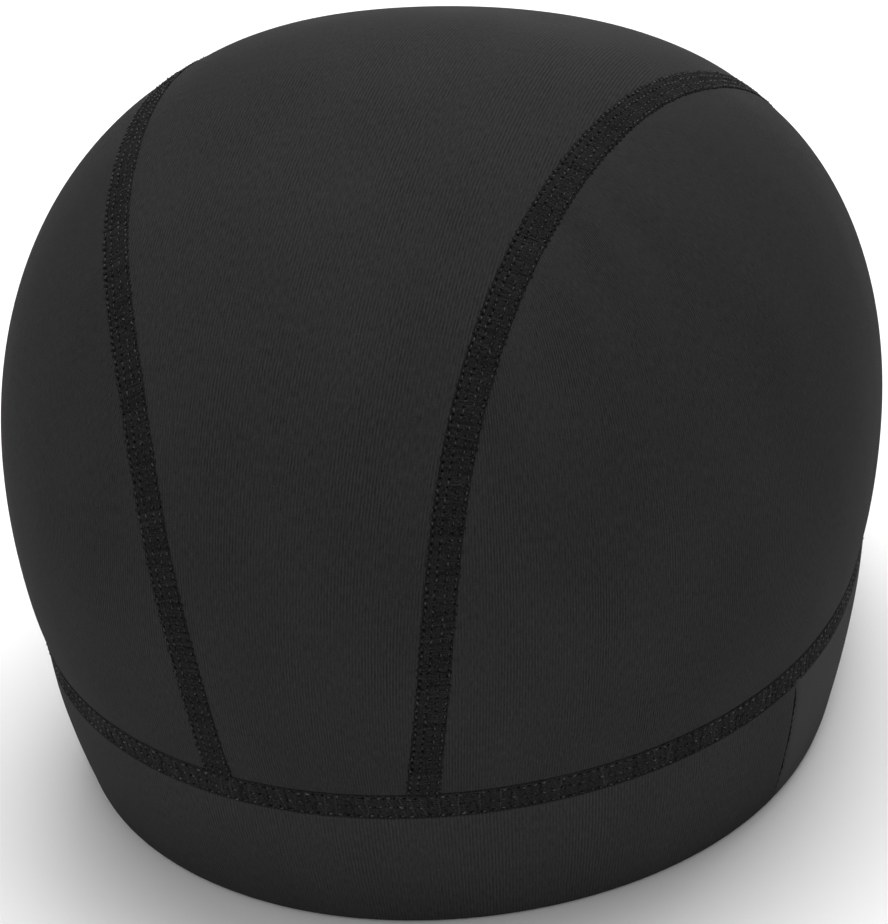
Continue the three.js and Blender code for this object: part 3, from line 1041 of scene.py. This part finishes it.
def band_heights():
    """Heights of the band's rows and half of the wall's thickness at each."""
    quarter = FOLD_RISES * np.pi / 2
    low = FOLD_HEIGHT * (1 - np.cos(quarter))
    middle = np.linspace(FOLD_HEIGHT, BAND_EDGE - EDGE_OFFSETS[-1], BAND_ROWS)[1:]
    top = BAND_EDGE - EDGE_OFFSETS[::-1]
    heights = np.concatenate([low, middle, top[1:]])
    half = np.full(len(heights), BAND_WALL / 2)
    half[:len(low)] = RIM_FLAT / 2 + (BAND_WALL - RIM_FLAT) / 2 * np.sin(quarter)
    half[len(low) - 1:] = edge_half(BAND_EDGE - heights[len(low) - 1:], BAND_WALL / 2)
    swell = hump(heights - FOLD_SWELL["height"], FOLD_SWELL["width"])
    share = smoothstep(heights, FOLD_SWELL["none_below"], FOLD_SWELL["full_above"])
    return heights, half + FOLD_SWELL["rise"] * swell * share


def band_place(turn, height):
    """Points and outward normals of the band's middle surface, level at the rim."""
    points, normals = surface_at(at_height(turn, height))
    level = unit(normals * (1, 1, 0))
    points[..., 2] = height
    return points, unit(lerp(level, normals, smoothstep(height, 0, LEVEL_BELOW)[..., None]))


def band():
    heights, half = band_heights()
    opening = math.degrees(CLOSED_GAP / reach(at_height(JOIN_TURN, SEAM_LINE_HEIGHT)))
    beside = np.degrees(JOIN_OFFSETS / BAND_RADIUS)
    first, last = opening + beside, 360 - opening - beside[::-1]
    middle = np.linspace(first[-1], last[0], BAND_COLUMNS)[1:-1]
    past_join = np.concatenate([first, middle, last])
    turn, height = np.meshgrid(JOIN_TURN + past_join, heights, indexing="ij")
    points, normals = band_place(turn, height)
    away = np.radians(np.minimum(past_join - opening, 360 - opening - past_join)) * BAND_RADIUS
    pinch = JOIN_PUCKER["depth"] * np.exp(-((away / JOIN_PUCKER["reach"]) ** 1.5))
    halves = half - pinch[:, None] * smoothstep(height, 0, JOIN_PUCKER["full_above"])
    place = np.stack([np.radians(past_join)[:, None] * BAND_RADIUS + 0 * turn, height], -1)
    return make_wall("band_cloth", points, normals, halves, place, band_jersey)


def band_join():
    """The upright line of small stitches that closes the band."""
    count = int((BAND_EDGE - JOIN_MARGIN) / JOIN_PITCH)
    share = np.linspace(0, 1, 9)
    height = JOIN_FOOT + JOIN_PITCH * np.arange(count)[:, None] + JOIN_PITCH * share
    sway = JOIN_SWAY["slow"] * np.sin(height * 0.9 + 0.8)
    sway = sway + JOIN_SWAY["quick"] * np.sin(2 * np.pi * share)
    lift = BAND_WALL / 2 - JOIN_SUNK + JOIN_CREST * np.sin(np.pi * share)
    parts = []
    for outward in (1, -1):
        aside = sway + random.normal(0, JOIN_SWAY["stray"], (count, 1))
        points, normals = band_place(JOIN_TURN + np.degrees(aside / BAND_RADIUS), height)
        away = outward * normals
        path = points + away * (lift + 0 * height)[..., None]
        parts.append(tube_parts(path, away, JOIN_RADIUS, 6, JOIN_FLATNESS))
    return make_tubes("band_join_stitches", parts, join_thread)


# The pieces, what they stand for, and the finish that each takes

def finish_piece(piece, node=None):
    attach(piece, "root")
    if node:
        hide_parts(node)


def sew_seam(node, line, width, stitches, is_ring, bulge, cloth, needle, cover):
    """A seam's strip, which stands for its node, and then its threads."""
    strip = seam_strip(node + "_strip", line, width, stitches, is_ring, bulge, cloth)
    needles = needle_stitches(node + "_needle_stitches", line, stitches, bulge, needle)
    covers = cover_stitches(node + "_cover_stitches", line, stitches, bulge, cover)
    finish_piece(strip, node)
    finish_piece(needles)
    finish_piece(covers)


finish_piece(centre_panel(), "crown_centre_panel")
finish_piece(side_panel(-1, "side_panel_left_cloth"), "side_panel_left")
finish_piece(side_panel(1, "side_panel_right_cloth"), "side_panel_right")
for side, node in ((-1, "crown_seam_left"), (1, "crown_seam_right")):
    sew_seam(
        node, crown_line(side), CROWN_STRIP, CROWN_STITCHES, False, no_bulge,
        crown_seam_cloth, crown_needle_thread, crown_cover_thread,
    )
sew_seam(
    "band_seam", band_line(), BAND_STRIP, BAND_STITCHES, True, crossing_bulge,
    band_seam_cloth, band_needle_thread, band_cover_thread,
)
finish_piece(band(), "band")
finish_piece(band_join(), "band_join")


# Floor, light and camera

FLOOR_REACH = 6.0  # metres
LIGHT_AIM = (0, 0, 0.06)
SOFTBOXES = [
    # name, place and size in metres, power in watts
    ("top_softbox", (-0.05, 0.5, 1.5), 1.3, 24),
    ("back_softbox", (-0.3, 1.6, 0.8), 1.0, 7),
    ("left_softbox", (-1.3, -0.2, 0.6), 0.9, 1.5),
    ("fill_softbox", (0.3, -1.6, 0.15), 0.9, 5),
]
WORLD_STRENGTH = 0.55
# Where the photograph was taken from, as fitted to its outline and seams
CAMERA_TURN = 19.618
CAMERA_RISE = 28.329
CAMERA_ROLL = -3.599
CAMERA_DISTANCE = 857.97
CAMERA_AIM = (-0.431, 0, 50.618)
CAMERA_FOCUS = 4723.98  # focal length in pixels
PHOTO_HEIGHT = 924


def place_item(item, columns, spot):
    """Link an object with its axes along three directions and its origin at a spot."""
    matrix = np.eye(4)
    matrix[:3, :3] = np.stack(columns, -1)
    matrix[:3, 3] = spot
    item.matrix_world = Matrix(matrix.tolist())
    bpy.context.scene.collection.objects.link(item)


def pale_floor():
    mesh = bpy.data.meshes.new("floor")
    r = FLOOR_REACH
    mesh.from_pydata([(-r, -r, 0), (r, -r, 0), (r, r, 0), (-r, r, 0)], [], [(0, 1, 2, 3)])
    shading = Shading("pale_floor")
    shading.feed(shading.shader, {
        "Base Color": (0.9, 0.9, 0.9, 1), "Roughness": 0.9, "Specular IOR Level": 0.1,
    })
    mesh.materials.append(shading.material)
    item = bpy.data.objects.new("floor", mesh)
    bpy.context.scene.collection.objects.link(item)


def soft_light(name, spot, size, power):
    """A square softbox that faces the cap."""
    light = bpy.data.lights.new(name, "AREA")
    light.shape = "SQUARE"
    light.size = size
    light.energy = power
    away = unit(np.array(spot) - LIGHT_AIM)
    sideways = unit(np.cross((0.0, 1.0, 0.001), away))
    columns = (sideways, np.cross(away, sideways), away)
    place_item(bpy.data.objects.new(name, light), columns, spot)


def camera():
    turn, rise, roll = np.radians([CAMERA_TURN, CAMERA_RISE, CAMERA_ROLL])
    back = np.array([
        math.sin(turn) * math.cos(rise), -math.cos(turn) * math.cos(rise), math.sin(rise),
    ])
    right = np.array([math.cos(turn), math.sin(turn), 0])
    up = np.cross(back, right)
    columns = (
        right * math.cos(roll) + up * math.sin(roll),
        up * math.cos(roll) - right * math.sin(roll),
        back,
    )
    aim = np.array(CAMERA_AIM) + PLAN_SHIFT
    data = bpy.data.cameras.new("camera")
    data.sensor_width = 36.0
    data.lens = CAMERA_FOCUS * data.sensor_width / PHOTO_HEIGHT
    data.clip_start, data.clip_end = 0.01, 100
    item = bpy.data.objects.new("camera", data)
    place_item(item, columns, (aim + back * CAMERA_DISTANCE) * MM)
    bpy.context.scene.camera = item


def plain_world():
    world = bpy.data.worlds.new("studio")
    world.use_nodes = True
    background = world.node_tree.nodes["Background"]
    background.inputs["Color"].default_value = (1, 1, 1, 1)
    background.inputs["Strength"].default_value = WORLD_STRENGTH
    bpy.context.scene.world = world
    bpy.context.scene.view_settings.view_transform = "Standard"


pale_floor()
for softbox in SOFTBOXES:
    soft_light(*softbox)
plain_world()
camera()
